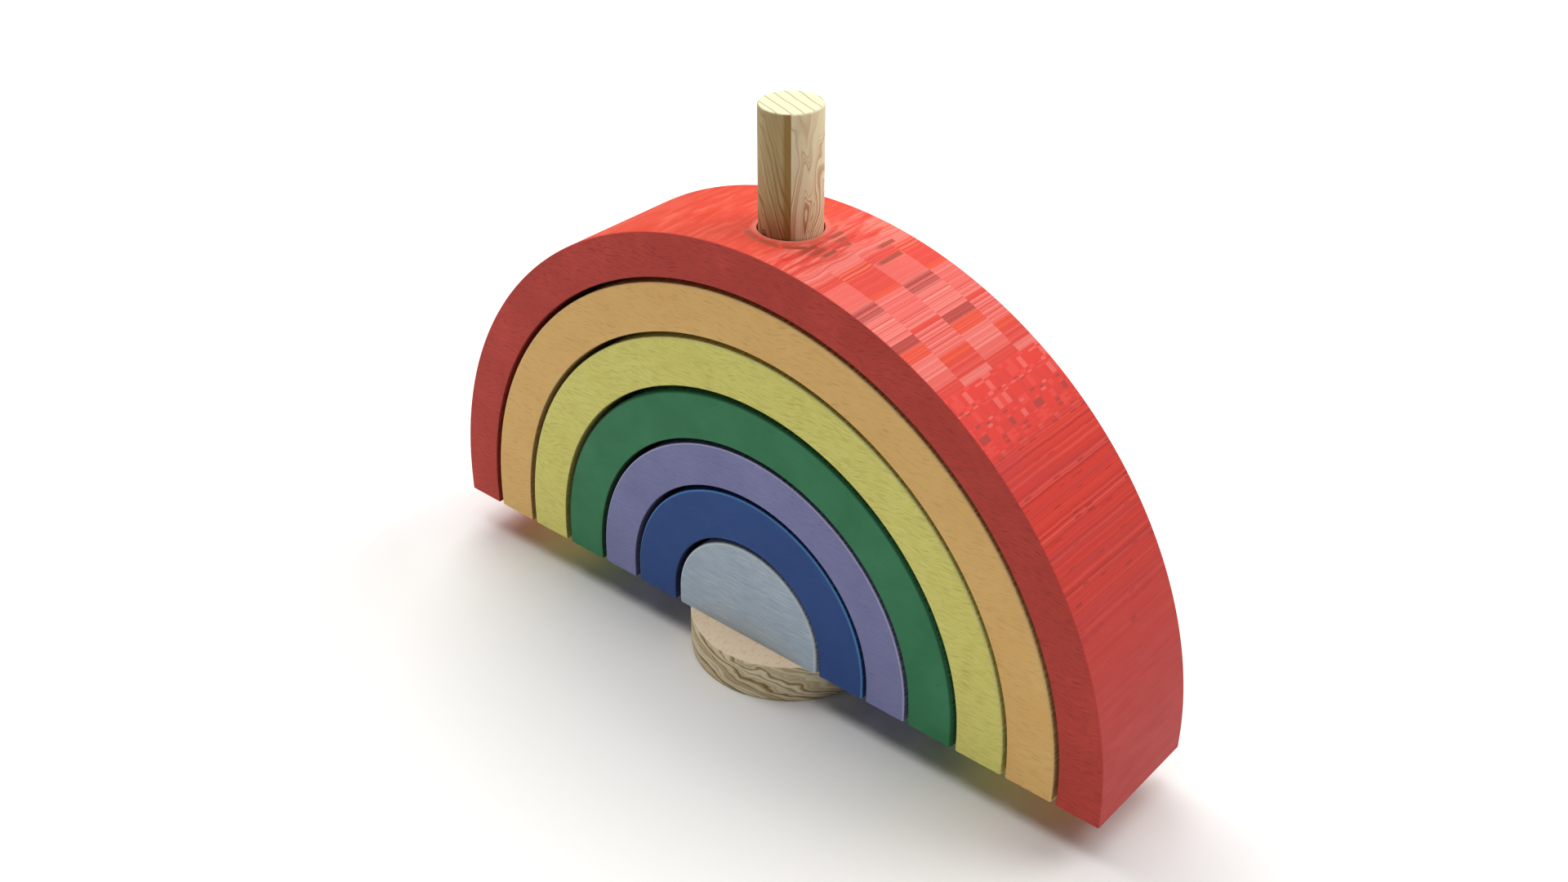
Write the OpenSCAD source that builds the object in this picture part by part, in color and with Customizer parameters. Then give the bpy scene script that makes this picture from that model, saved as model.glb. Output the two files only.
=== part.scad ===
// Rainbow stacking tower: six nested wooden arches and a half-round core, threaded on a
// dowel that stands in a small round base. The frame has +X along the span of the arches,
// +Y to the back and +Z up, with the origin at the middle of the underside of the base.

/* [Base] */
// Diameter of the round base
base_d = 62; // [56:1:72]
// Thickness of the round base
base_t = 13; // [12:0.5:18]
// Depth of the blind hole that the dowel is glued into
socket_depth = 10; // [8:0.5:10]

/* [Dowel] */
// Diameter of the dowel
dowel_d = 18; // [16:0.5:18.5]
// Height of the top of the dowel above the table
dowel_top = 178; // [165:1:200]

/* [Arches] */
// Depth of every arch from front to back
arch_depth = 42; // [36:1:46]
// Height of the straight feet below the half rounds
foot_h = 4.6; // [3:0.2:8]
// Gap between one arch and the next
arch_gap = 1.5; // [1.2:0.1:2]
// Radius of the half-round core
core_r = 27.5; // [25:0.5:30]
// Wall of the blue arch
blue_wall = 16; // [12:0.1:18]
// Wall of the purple arch
purple_wall = 13.6; // [12:0.1:18]
// Wall of the green arch
green_wall = 15.2; // [12:0.1:18]
// Wall of the yellow arch
yellow_wall = 15.2; // [12:0.1:18]
// Wall of the orange arch
orange_wall = 15; // [12:0.1:18]
// Wall of the red arch
red_wall = 13.5; // [12:0.1:18]
// Diameter of the hole for the dowel through the crowns and the core
bore_d = 18.8; // [18.7:0.1:19.5]

/* [Felt rings] */
// Outer diameter of the felt rings glued under the crowns
felt_d = 28; // [24:1:32]
// Space left between a felt ring and the arch below it
felt_clearance = 0.1; // [0.05:0.05:0.2]

/* [Hidden] */
$fn = 96;

walls = [blue_wall, purple_wall, green_wall, yellow_wall, orange_wall, red_wall];
arch_edge = 1.2;
base_edge = 0.6;
dowel_edge = 0.8;
bore_lip = 0.4;
glue_line = 0.05;
dowel_floor_gap = 0.2;
edge_facets = 12;
cut = 1;

// Height of the common centre of all the half rounds
centre_z = base_t + foot_h;

// Total of the first n walls
function wall_sum(n) = n == 0 ? 0 : walls[n - 1] + wall_sum(n - 1);

// Radii of arch i, counted from the blue one outwards
function inner_r(i) = core_r + (i + 1) * arch_gap + wall_sum(i);
function outer_r(i) = inner_r(i) + walls[i];

// A rectangle from [x, y] with its four corners rounded by a radius
module soft_rect(x, y, width, height, edge) {
    offset(r = edge, $fn = edge_facets)
        translate([x + edge, y + edge])
            square([width - 2 * edge, height - 2 * edge]);
}

// The part of a flat shape that lies to the right of the axis, within a reach and a height
module right_half(reach, height) {
    intersection() {
        children();
        translate([0, -height / 2])
            square([reach, height]);
    }
}

// The hole for the dowel, up through a crown whose top is at height top, with an eased lip
module dowel_bore(from_z, top) {
    translate([0, 0, from_z])
        cylinder(d = bore_d, h = top - from_z + cut);
    translate([0, 0, top - bore_lip])
        cylinder(d1 = bore_d, d2 = bore_d + 4 * bore_lip, h = 2 * bore_lip);
}

// Half round of the section given as children, standing on two straight feet
module bent_over() {
    translate([0, 0, centre_z])
        rotate([90, 0, 0])
            rotate_extrude(angle = 180)
                children();
    for (side = [0, 1])
        mirror([side, 0, 0])
            translate([0, 0, base_t])
                linear_extrude(height = foot_h)
                    children();
}

module arch(i) {
    difference() {
        bent_over()
            soft_rect(inner_r(i), -arch_depth / 2, walls[i], arch_depth, arch_edge);
        dowel_bore(centre_z, centre_z + outer_r(i));
    }
}

// Ring of felt that follows the inside of arch i round the dowel hole
module felt_ring(i) {
    thickness = arch_gap - felt_clearance;
    difference() {
        intersection() {
            translate([0, 0, centre_z])
                cylinder(d = felt_d, h = inner_r(i) + cut);
            translate([0, 0, centre_z])
                rotate([90, 0, 0])
                    cylinder(r = inner_r(i), h = arch_depth, center = true);
        }
        translate([0, 0, centre_z])
            rotate([90, 0, 0])
                cylinder(r = inner_r(i) - thickness, h = arch_depth, center = true);
        translate([0, 0, base_t])
            cylinder(d = bore_d, h = foot_h + inner_r(i) + cut);
    }
}

module base_disc() {
    color("#C9AE8C")
        difference() {
            rotate_extrude()
                right_half(base_d, 2 * base_t)
                    soft_rect(-base_d / 2, 0, base_d, base_t, base_edge);
            translate([0, 0, base_t - socket_depth])
                cylinder(d = dowel_d + 2 * glue_line, h = socket_depth + cut);
        }
}

module dowel() {
    foot_z = base_t - socket_depth + dowel_floor_gap;
    length = dowel_top - foot_z;
    color("#C2A878")
        translate([0, 0, foot_z])
            rotate_extrude()
                right_half(dowel_d, 2 * length)
                    soft_rect(-dowel_d / 2, 0, dowel_d, length, dowel_edge);
}

module core() {
    color("#8C98A8")
        difference() {
            bent_over()
                right_half(core_r, arch_depth)
                    soft_rect(-core_r, -arch_depth / 2, 2 * core_r, arch_depth, arch_edge);
            dowel_bore(base_t - cut, centre_z + core_r);
        }
}

module blue_arch() {
    color("#35508C") arch(0);
}

module purple_arch() {
    color("#706E93") arch(1);
}

module green_arch() {
    color("#3C7250") arch(2);
}

module yellow_arch() {
    color("#C0BB66") arch(3);
}

module orange_arch() {
    color("#C69C60") arch(4);
}

module red_arch() {
    color("#C8453F") arch(5);
}

module felt(i) {
    color("#D8D2C4") felt_ring(i);
}

base_disc();
dowel();
core();
blue_arch();
purple_arch();
green_arch();
yellow_arch();
orange_arch();
red_arch();
felt(0);  // blue_felt
felt(1);  // purple_felt
felt(2);  // green_felt
felt(3);  // yellow_felt
felt(4);  // orange_felt
felt(5);  // red_felt
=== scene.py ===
# Rainbow stacking tower: nested stained arches over a half-round core, on a dowel in a round base.
import bpy
import math
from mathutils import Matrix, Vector


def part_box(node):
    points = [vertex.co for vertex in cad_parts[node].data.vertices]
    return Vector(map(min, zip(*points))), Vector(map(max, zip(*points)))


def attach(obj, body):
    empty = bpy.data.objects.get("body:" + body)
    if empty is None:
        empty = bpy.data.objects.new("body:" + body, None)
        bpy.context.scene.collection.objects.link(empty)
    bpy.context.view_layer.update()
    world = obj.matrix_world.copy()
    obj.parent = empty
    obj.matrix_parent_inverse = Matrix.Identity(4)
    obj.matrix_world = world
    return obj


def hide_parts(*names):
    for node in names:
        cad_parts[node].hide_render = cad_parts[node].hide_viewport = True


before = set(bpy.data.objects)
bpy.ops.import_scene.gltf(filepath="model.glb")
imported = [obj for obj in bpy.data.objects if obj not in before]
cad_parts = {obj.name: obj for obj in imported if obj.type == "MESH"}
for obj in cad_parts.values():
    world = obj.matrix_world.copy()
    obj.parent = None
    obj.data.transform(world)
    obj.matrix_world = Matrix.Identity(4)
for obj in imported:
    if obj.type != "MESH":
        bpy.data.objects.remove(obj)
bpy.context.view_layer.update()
mm = 0.001
print("frame loaded:", len(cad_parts), "nodes")


def toLinear(hexColour):
    parts = [int(hexColour[i:i + 2], 16) / 255 for i in (1, 3, 5)]
    return [p / 12.92 if p <= 0.04045 else ((p + 0.055) / 1.055) ** 2.4 for p in parts] + [1.0]


# one shader node: its settings, fixed inputs, colour stops, and what feeds it
def addNode(tree, kind, links=None, values=None, stops=None, **settings):
    node = tree.nodes.new(kind)
    for name, value in settings.items():
        setattr(node, name, value)
    for socket, value in (values or {}).items():
        node.inputs[socket].default_value = value
    if stops:
        ramp = node.color_ramp
        while len(ramp.elements) < len(stops):
            ramp.elements.new(0.5)
        for element, (position, tint) in zip(ramp.elements, stops):
            element.position = position
            element.color = toLinear(tint)
    for socket, source in (links or {}).items():
        tree.links.new(source, node.inputs[socket])
    return node


def selectNothing():
    if bpy.context.object and bpy.context.object.mode == "EDIT":
        bpy.ops.object.mode_set(mode="OBJECT")
    bpy.ops.object.select_all(action="DESELECT")


def makeActive(piece):
    selectNothing()
    bpy.context.view_layer.objects.active = piece
    piece.select_set(True)


def editAll(piece):
    makeActive(piece)
    bpy.ops.object.mode_set(mode="EDIT")
    bpy.ops.mesh.select_mode(type="FACE")
    bpy.ops.mesh.select_all(action="SELECT")


def clearSelection(mesh):
    for parts in (mesh.vertices, mesh.edges, mesh.polygons):
        parts.foreach_set("select", [False] * len(parts))


def pickFaces(piece, test):
    bpy.ops.object.mode_set(mode="OBJECT")
    clearSelection(piece.data)
    for face in piece.data.polygons:
        face.select = test(face)
    bpy.ops.object.mode_set(mode="EDIT")
    bpy.ops.mesh.select_mode(type="FACE")


def pickEdges(piece, test):
    bpy.ops.object.mode_set(mode="OBJECT")
    clearSelection(piece.data)
    corners = piece.data.vertices
    for edge in piece.data.edges:
        edge.select = test(corners[edge.vertices[0]].co, corners[edge.vertices[1]].co)
    bpy.ops.object.mode_set(mode="EDIT")
    bpy.ops.mesh.select_mode(type="EDGE")


def extrude(x, y, z):
    bpy.ops.mesh.extrude_region_move(TRANSFORM_OT_translate={"value": (x, y, z)})


def applyModifier(piece, kind, **settings):
    makeActive(piece)
    modifier = piece.modifiers.new(kind.title(), kind)
    for name, value in settings.items():
        setattr(modifier, name, value)
    bpy.ops.object.modifier_apply(modifier=modifier.name)


def placeInMesh(piece):
    makeActive(piece)
    bpy.ops.object.transform_apply(location=True, rotation=True, scale=True)


# smooth over the curves, crisp at the cuts, with the broad faces kept flat
def smoothFaces(piece, degrees=40):
    makeActive(piece)
    bpy.ops.object.shade_smooth_by_angle(angle=math.radians(degrees))
    applyModifier(piece, "WEIGHTED_NORMAL", keep_sharp=True, weight=100)


def near(a, b):
    return abs(a - b) < 1e-5


bore = {
    "radius": 9.4 * mm,
    "lip": 0.4 * mm,
    "lipSteps": 4,
    "sides": 96,
    "spare": 4 * mm,
}


# drills the dowel's hole up through a crown and eases its mouth with a quarter round
def drillForDowel(piece, fromZ, topZ):
    straight = topZ - bore["lip"] - fromZ
    selectNothing()
    bpy.ops.mesh.primitive_cylinder_add(
        vertices=bore["sides"], radius=bore["radius"], depth=straight,
        location=(0, 0, fromZ + straight / 2))
    cutter = bpy.context.object
    placeInMesh(cutter)
    editAll(cutter)
    pickFaces(cutter, lambda face: face.normal.z > 0.9)
    turn = math.pi / 2 / bore["lipSteps"]
    radius = bore["radius"]
    for step in range(bore["lipSteps"]):
        rise = bore["lip"] * (math.sin((step + 1) * turn) - math.sin(step * turn))
        wider = bore["radius"] + bore["lip"] * (1 - math.cos((step + 1) * turn))
        extrude(0, 0, rise)
        bpy.ops.transform.resize(value=(wider / radius, wider / radius, 1))
        radius = wider
    extrude(0, 0, bore["spare"])
    bpy.ops.object.mode_set(mode="OBJECT")
    applyModifier(piece, "BOOLEAN", operation="DIFFERENCE", solver="EXACT", object=cutter)
    bpy.data.objects.remove(cutter)


archCut = {
    "steps": 180,
    "innerEdge": 0.3 * mm,
    "footEdge": 0.25 * mm,
    "footSegments": 2,
    "segments": 3,
    "merge": 1e-6,
}
# how far each piece's outer edges are eased, in millimetres
outerEdges = {
    "core": 1.1, "blue": 0.9, "purple": 0.7, "green": 1.1,
    "yellow": 0.8, "orange": 0.7, "red": 0.35,
}


def archSize(colour):
    low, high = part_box(colour + "_arch")
    centre = high.z - high.x
    return {
        "foot": low.z,
        "depth": high.y - low.y,
        "centre": centre,
        "outer": high.x,
        "inner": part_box(colour + "_felt")[1].z - centre,
    }


# a foot's section, drawn up, swung over in a half round and brought down to the other foot
def modelArch(colour):
    size = archSize(colour)
    wall = size["outer"] - size["inner"]
    stilt = size["centre"] - size["foot"]
    selectNothing()
    bpy.ops.mesh.primitive_plane_add(size=1, location=(size["inner"] + wall / 2, 0, size["foot"]))
    arch = bpy.context.object
    arch.name = colour + "Arch"
    arch.scale = (wall, size["depth"], 1)
    placeInMesh(arch)
    editAll(arch)
    extrude(0, 0, stilt)
    bpy.ops.mesh.spin(
        steps=archCut["steps"], angle=math.pi, center=(0, 0, size["centre"]), axis=(0, 1, 0))
    extrude(0, 0, -stilt)
    bpy.ops.mesh.select_all(action="SELECT")
    bpy.ops.mesh.remove_doubles(threshold=archCut["merge"])
    bpy.ops.mesh.normals_make_consistent(inside=False)

    def spread(place):
        return math.hypot(place.x, max(place.z - size["centre"], 0))

    edges = ((size["inner"], archCut["innerEdge"]), (size["outer"], outerEdges[colour] * mm))
    for radius, width in edges:
        pickEdges(arch, lambda a, b: (
            near(spread(a), radius) and near(spread(b), radius) and near(a.y, b.y)))
        bpy.ops.mesh.bevel(offset=width, segments=archCut["segments"], affect="EDGES")
    pickFaces(arch, lambda face: face.normal.z < -0.99 and near(face.center.z, size["foot"]))
    bpy.ops.mesh.region_to_loop()
    bpy.ops.mesh.bevel(
        offset=archCut["footEdge"], segments=archCut["footSegments"], affect="EDGES")
    bpy.ops.object.mode_set(mode="OBJECT")
    drillForDowel(arch, size["centre"], size["centre"] + size["outer"])
    smoothFaces(arch)
    return arch


# a full round cut through its middle, brought down to the base and drawn out to its depth
def modelCore():
    low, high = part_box("core")
    radius = high.x
    centre = high.z - radius
    selectNothing()
    bpy.ops.mesh.primitive_circle_add(
        vertices=2 * archCut["steps"], radius=radius, fill_type="NGON",
        location=(0, low.y, centre), rotation=(math.pi / 2, 0, 0))
    core = bpy.context.object
    core.name = "halfRoundCore"
    placeInMesh(core)
    editAll(core)
    bpy.ops.mesh.bisect(
        plane_co=(0, 0, centre), plane_no=(0, 0, 1), clear_inner=True, use_fill=False)
    pickEdges(core, lambda a, b: near(a.z, centre) and near(b.z, centre))
    extrude(0, 0, low.z - centre)
    bpy.ops.mesh.select_all(action="SELECT")
    extrude(0, high.y - low.y, 0)
    bpy.ops.mesh.select_all(action="SELECT")
    bpy.ops.mesh.remove_doubles(threshold=archCut["merge"])
    bpy.ops.mesh.normals_make_consistent(inside=False)
    pickFaces(core, lambda face: abs(face.normal.y) > 0.99)
    bpy.ops.mesh.dissolve_limited(angle_limit=math.radians(1))
    pickEdges(core, lambda a, b: (
        near(a.y, b.y) and not (near(a.z, low.z) and near(b.z, low.z))))
    bpy.ops.mesh.bevel(
        offset=outerEdges["core"] * mm, segments=archCut["segments"], affect="EDGES")
    bpy.ops.object.mode_set(mode="OBJECT")
    drillForDowel(core, low.z - bore["spare"], high.z)
    smoothFaces(core)
    return core


turning = {
    "dowelSides": 128,
    "dowelEdge": 0.6 * mm,
    "baseSides": 192,
    "baseEdge": 0.5 * mm,
    "edgeSegments": 4,
    "socketPlay": 0.05 * mm,
    "socketDepth": 10 * mm,
}


# a turned bar with both ends eased
def modelDowel():
    low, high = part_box("dowel")
    selectNothing()
    bpy.ops.mesh.primitive_cylinder_add(
        vertices=turning["dowelSides"], radius=high.x, depth=high.z - low.z,
        location=(0, 0, (low.z + high.z) / 2))
    dowel = bpy.context.object
    dowel.name = "dowelRod"
    placeInMesh(dowel)
    editAll(dowel)
    pickFaces(dowel, lambda face: abs(face.normal.z) > 0.9)
    bpy.ops.mesh.region_to_loop()
    bpy.ops.mesh.bevel(
        offset=turning["dowelEdge"], segments=turning["edgeSegments"], affect="EDGES")
    bpy.ops.object.mode_set(mode="OBJECT")
    smoothFaces(dowel)
    return dowel


# a turned disc with eased rims and a blind socket for the dowel
def modelBase():
    low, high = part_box("base_disc")
    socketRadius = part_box("dowel")[1].x + turning["socketPlay"]
    selectNothing()
    bpy.ops.mesh.primitive_cylinder_add(
        vertices=turning["baseSides"], radius=high.x, depth=high.z - low.z,
        location=(0, 0, (low.z + high.z) / 2))
    base = bpy.context.object
    base.name = "roundBase"
    placeInMesh(base)
    editAll(base)
    pickFaces(base, lambda face: abs(face.normal.z) > 0.9)
    bpy.ops.mesh.region_to_loop()
    bpy.ops.mesh.bevel(
        offset=turning["baseEdge"], segments=turning["edgeSegments"], affect="EDGES")
    pickFaces(base, lambda face: face.normal.z > 0.99 and near(face.center.z, high.z))
    bpy.ops.mesh.inset(thickness=high.x - turning["baseEdge"] - socketRadius)
    extrude(0, 0, -turning["socketDepth"])
    bpy.ops.object.mode_set(mode="OBJECT")
    smoothFaces(base)
    return base


feltRing = {
    "thickness": 1.4 * mm,
    "sides": 96,
    "rows": 5,
    "edge": 0.3 * mm,
    "wool": "#D8D2C4",
    "shadow": "#B4AB99",
    "roughness": 0.95,
    "specular": 0.1,
    "sheen": 0.3,
}


# a flat ring of felt, pressed up against the inside of the crown round the hole
def modelFelt(colour):
    size = archSize(colour)
    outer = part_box(colour + "_felt")[1].x
    selectNothing()
    bpy.ops.mesh.primitive_circle_add(vertices=feltRing["sides"], radius=outer)
    felt = bpy.context.object
    felt.name = colour + "FeltRing"
    editAll(felt)
    bpy.ops.mesh.select_mode(type="EDGE")
    bpy.ops.mesh.select_all(action="SELECT")
    radius = outer
    for row in range(feltRing["rows"]):
        narrower = outer - (outer - bore["radius"]) * (row + 1) / feltRing["rows"]
        extrude(0, 0, 0)
        bpy.ops.transform.resize(value=(narrower / radius, narrower / radius, 1))
        radius = narrower
    bpy.ops.mesh.select_all(action="SELECT")
    bpy.ops.mesh.normals_make_consistent(inside=False)
    bpy.ops.object.mode_set(mode="OBJECT")
    for corner in felt.data.vertices:
        corner.co.z = size["centre"] + math.sqrt(size["inner"] ** 2 - corner.co.x ** 2)
    facesUp = felt.data.polygons[0].normal.z > 0
    applyModifier(
        felt, "SOLIDIFY", thickness=feltRing["thickness"], offset=-1 if facesUp else 1)
    editAll(felt)
    bpy.ops.mesh.normals_make_consistent(inside=False)
    bpy.ops.object.mode_set(mode="OBJECT")
    applyModifier(
        felt, "BEVEL", width=feltRing["edge"], segments=3, limit_method="ANGLE", angle_limit=1.0)
    smoothFaces(felt)
    return felt


# a new material with the finish's gloss set on its shader
def startMaterial(name, roughness, specular):
    material = bpy.data.materials.new(name)
    material.use_nodes = True
    shader = material.node_tree.nodes["Principled BSDF"]
    shader.inputs["Roughness"].default_value = roughness
    shader.inputs["Specular IOR Level"].default_value = specular
    return material, material.node_tree, shader


# grain of a sawn board lying along x: sways gently, runs in fine fibres with short open pores
def boardGrain(tree, place, stain):
    wander = addNode(
        tree, "ShaderNodeTexNoise", {"Vector": place},
        {"Scale": 0.045, "Detail": 2.0, "Roughness": 0.5})
    swayed = addNode(
        tree, "ShaderNodeVectorMath", {0: wander.outputs["Color"], 2: place},
        {1: (0, 0, stain["sway"])}, operation="MULTIPLY_ADD")
    fibreSpace = addNode(
        tree, "ShaderNodeVectorMath", {0: swayed.outputs[0]}, {1: (0.2, 1.0, stain["fine"])},
        operation="MULTIPLY")
    fibre = addNode(
        tree, "ShaderNodeTexNoise", {"Vector": fibreSpace.outputs[0]},
        {"Scale": 1.0, "Detail": 3.0, "Roughness": 0.65})
    poreSpace = addNode(
        tree, "ShaderNodeVectorMath", {0: swayed.outputs[0]},
        {1: (0.9 / stain["poreLength"], 0.8, 4.0)}, operation="MULTIPLY")
    poreNoise = addNode(
        tree, "ShaderNodeTexNoise", {"Vector": poreSpace.outputs[0]},
        {"Scale": 1.0, "Detail": 1.5, "Roughness": 0.5})
    pores = addNode(
        tree, "ShaderNodeMapRange", {0: poreNoise.outputs["Fac"]},
        {1: stain["poreFrom"], 2: stain["poreFrom"] + 0.09, 3: 0.0, 4: stain["pores"]},
        interpolation_type="SMOOTHSTEP")
    swayedHeight = addNode(tree, "ShaderNodeSeparateXYZ", {0: swayed.outputs[0]})
    threadSway = addNode(
        tree, "ShaderNodeTexNoise", {"Vector": fibreSpace.outputs[0]}, {"Scale": 0.35, "Detail": 1.0})
    threadPlace = addNode(
        tree, "ShaderNodeMath", {0: threadSway.outputs["Fac"], 2: swayedHeight.outputs["Z"]}, {1: 1.6},
        operation="MULTIPLY_ADD")
    threads = addNode(
        tree, "ShaderNodeTexNoise", {"W": threadPlace.outputs[0]},
        {"Scale": 3.0, "Detail": 2.0, "Roughness": 0.7}, noise_dimensions="1D")
    threadTone = addNode(
        tree, "ShaderNodeMapRange", {0: threads.outputs["Fac"]},
        {1: 0.4, 2: 0.62, 3: 0.0, 4: stain["threads"]})
    cloud = addNode(
        tree, "ShaderNodeTexNoise", {"Vector": place},
        {"Scale": 0.07, "Detail": 3.0, "Roughness": 0.55})
    fibreTone = addNode(
        tree, "ShaderNodeMapRange", {0: fibre.outputs["Fac"]},
        {1: 0.3, 2: 0.7, 3: 0.0, 4: stain["fibres"]})
    cloudTone = addNode(
        tree, "ShaderNodeMapRange", {0: cloud.outputs["Fac"]},
        {1: 0.3, 2: 0.7, 3: 0.0, 4: stain["clouds"]})
    shade = addNode(
        tree, "ShaderNodeMath", {0: fibreTone.outputs[0], 1: cloudTone.outputs[0]}, operation="ADD")
    shade = addNode(
        tree, "ShaderNodeMath", {0: shade.outputs[0], 1: threadTone.outputs[0]}, operation="ADD")
    ground = addNode(
        tree, "ShaderNodeMix", {0: shade.outputs[0]},
        {6: toLinear(stain["light"]), 7: toLinear(stain["dark"])}, data_type="RGBA")
    pored = addNode(
        tree, "ShaderNodeMix", {0: pores.outputs[0], 6: ground.outputs[2]},
        {7: toLinear(stain["pore"])}, data_type="RGBA")
    height = addNode(
        tree, "ShaderNodeMath", {0: pores.outputs[0], 1: fibre.outputs["Fac"]}, {2: 0.5},
        operation="MULTIPLY_ADD")
    return pored.outputs[2], height.outputs[0]


# on the sawn curve the saw has crossed the board: thin lines run from front to back
def sawnCurve(tree, along, stain):
    lines = addNode(
        tree, "ShaderNodeTexNoise", {"W": along}, {"Scale": 0.9, "Detail": 4.0, "Roughness": 0.8},
        noise_dimensions="1D")
    tone = addNode(
        tree, "ShaderNodeMapRange", {0: lines.outputs["Fac"]}, {1: 0.35, 2: 0.65, 3: 0.0, 4: 1.0})
    curve = addNode(
        tree, "ShaderNodeMix", {0: tone.outputs[0]},
        {6: toLinear(stain["light"]), 7: toLinear(stain["pore"])}, data_type="RGBA")
    return curve.outputs[2]


# the red curve changes as the saw turns through the board: a smooth left shoulder, broad
# rays in rows to the right of the hole, then small flecks, fine lines and a plain foot
def redCurve(tree, place, along, depth, hole):
    sway = addNode(
        tree, "ShaderNodeTexNoise", {"Vector": place}, {"Scale": 0.09, "Detail": 0.0})
    swayHere = addNode(
        tree, "ShaderNodeMapRange", {0: hole}, {1: 20.0, 2: 44.0, 3: 3.0, 4: 0.0})
    swayCentred = addNode(
        tree, "ShaderNodeMath", {0: sway.outputs["Fac"]}, {1: 0.5}, operation="SUBTRACT")
    bent = addNode(
        tree, "ShaderNodeMath", {0: swayCentred.outputs[0], 1: swayHere.outputs[0], 2: along},
        operation="MULTIPLY_ADD")
    rowPlace = addNode(
        tree, "ShaderNodeMath", {0: depth}, {1: 1 / redRays["rowHeight"], 2: redRays["rowShift"]},
        operation="MULTIPLY_ADD")
    row = addNode(tree, "ShaderNodeMath", {0: rowPlace.outputs[0]}, operation="FLOOR")
    kind = addNode(
        tree, "ShaderNodeMath", {0: row.outputs[0]}, {1: 2.0}, operation="FLOORED_MODULO")

    # broad rays, their widths wandering, every second row alike
    driftPlace = addNode(
        tree, "ShaderNodeMath", {0: kind.outputs[0], 2: bent.outputs[0]}, {1: redRays["rowJump"]},
        operation="MULTIPLY_ADD")
    drift = addNode(
        tree, "ShaderNodeTexNoise", {"W": driftPlace.outputs[0]}, {"Scale": 0.16, "Detail": 0.0},
        noise_dimensions="1D")
    rayPlace = addNode(
        tree, "ShaderNodeMath", {0: drift.outputs["Fac"], 2: driftPlace.outputs[0]},
        {1: redRays["wander"]}, operation="MULTIPLY_ADD")
    raySteps = addNode(
        tree, "ShaderNodeMath", {0: rayPlace.outputs[0]}, {1: redRays["rayWidth"]}, operation="DIVIDE")
    ray = addNode(tree, "ShaderNodeMath", {0: raySteps.outputs[0]}, operation="FLOOR")
    rayKey = addNode(tree, "ShaderNodeCombineXYZ", {"X": ray.outputs[0], "Y": kind.outputs[0]})
    rayPick = addNode(
        tree, "ShaderNodeTexWhiteNoise", {"Vector": rayKey.outputs[0]}, noise_dimensions="2D")
    rayColour = addNode(
        tree, "ShaderNodeValToRGB", {"Fac": rayPick.outputs["Value"]},
        stops=redRays["tints"])
    rayColour.color_ramp.interpolation = "CONSTANT"
    strandPlace = addNode(
        tree, "ShaderNodeMath", {0: ray.outputs[0], 2: bent.outputs[0]}, {1: 13.0},
        operation="MULTIPLY_ADD")
    strands = addNode(
        tree, "ShaderNodeTexNoise", {"W": strandPlace.outputs[0]},
        {"Scale": 1.3, "Detail": 3.0, "Roughness": 0.7}, noise_dimensions="1D")
    strandShare = addNode(
        tree, "ShaderNodeMapRange", {0: rayPick.outputs["Color"]}, {1: 0.3, 2: 0.7, 3: 0.15, 4: 0.9})
    paleStrands = addNode(
        tree, "ShaderNodeMapRange", {0: strands.outputs["Fac"], 4: strandShare.outputs[0]},
        {1: 0.48, 2: 0.7, 3: 0.0})
    darkStrands = addNode(
        tree, "ShaderNodeMapRange", {0: strands.outputs["Fac"], 4: strandShare.outputs[0]},
        {1: 0.47, 2: 0.27, 3: 0.0})
    paleRay = addNode(
        tree, "ShaderNodeMix", {0: paleStrands.outputs[0], 6: rayColour.outputs[0]},
        {7: toLinear(redRays["pale"])}, data_type="RGBA")
    rays = addNode(
        tree, "ShaderNodeMix", {0: darkStrands.outputs[0], 6: paleRay.outputs[2]},
        {7: toLinear(redRays["deep"])}, data_type="RGBA")

    # small square flecks where the rays are cut nearly across
    fleckDrift = addNode(
        tree, "ShaderNodeTexNoise", {"W": along}, {"Scale": 0.35, "Detail": 0.0}, noise_dimensions="1D")
    fleckAlong = addNode(
        tree, "ShaderNodeMath", {0: fleckDrift.outputs["Fac"], 2: along}, {1: 4.0},
        operation="MULTIPLY_ADD")
    fleckAcross = addNode(
        tree, "ShaderNodeMath", {0: rowPlace.outputs[0]}, {1: 2.0}, operation="FLOORED_MODULO")
    fleckSpace = addNode(
        tree, "ShaderNodeCombineXYZ", {"X": fleckAlong.outputs[0], "Y": fleckAcross.outputs[0]})
    fleckScaled = addNode(
        tree, "ShaderNodeVectorMath", {0: fleckSpace.outputs[0]}, {1: redRays["fleckGrid"]},
        operation="MULTIPLY")
    fleckCell = addNode(tree, "ShaderNodeVectorMath", {0: fleckScaled.outputs[0]}, operation="FLOOR")
    fleckPick = addNode(
        tree, "ShaderNodeTexWhiteNoise", {"Vector": fleckCell.outputs[0]}, noise_dimensions="2D")
    flecks = addNode(
        tree, "ShaderNodeValToRGB", {"Fac": fleckPick.outputs["Value"]},
        stops=redRays["fleckTints"])
    flecks.color_ramp.interpolation = "CONSTANT"

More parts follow.
